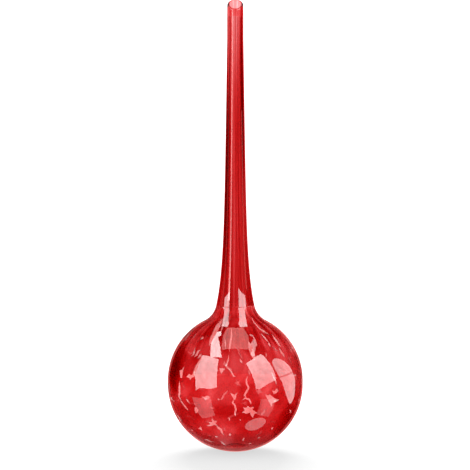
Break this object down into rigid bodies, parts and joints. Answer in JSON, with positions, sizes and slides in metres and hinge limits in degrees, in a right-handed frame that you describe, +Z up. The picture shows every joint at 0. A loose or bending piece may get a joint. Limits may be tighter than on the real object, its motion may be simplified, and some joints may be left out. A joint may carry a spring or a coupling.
{
  "type": "watering globe",
  "caption": "Hollow red blown-glass globe with a long drawn stem that waters a plant pot slowly.",
  "frame": {"origin": "centre of the small flat foot under the globe, on the surface it stands on", "axes": "+Z up along the stem's axis from the foot to the mouth, -Y the way the slanted mouth faces"},
  "size_m": [0.09, 0.09, 0.3],
  "materials": {
    "clear_glass": "gloss",
    "red_glass": "gloss",
    "fleck_glass": "gloss"
  },
  "bodies": {
    "root": {"clear_globe": "clear_glass", "red_globe_overlay": "red_glass", "clear_flecks": "fleck_glass", "base_seal": "clear_glass", "clear_stem": "clear_glass", "red_stem_overlay": "red_glass", "mouth_lip": "clear_glass"}
  },
  "joints": []
}
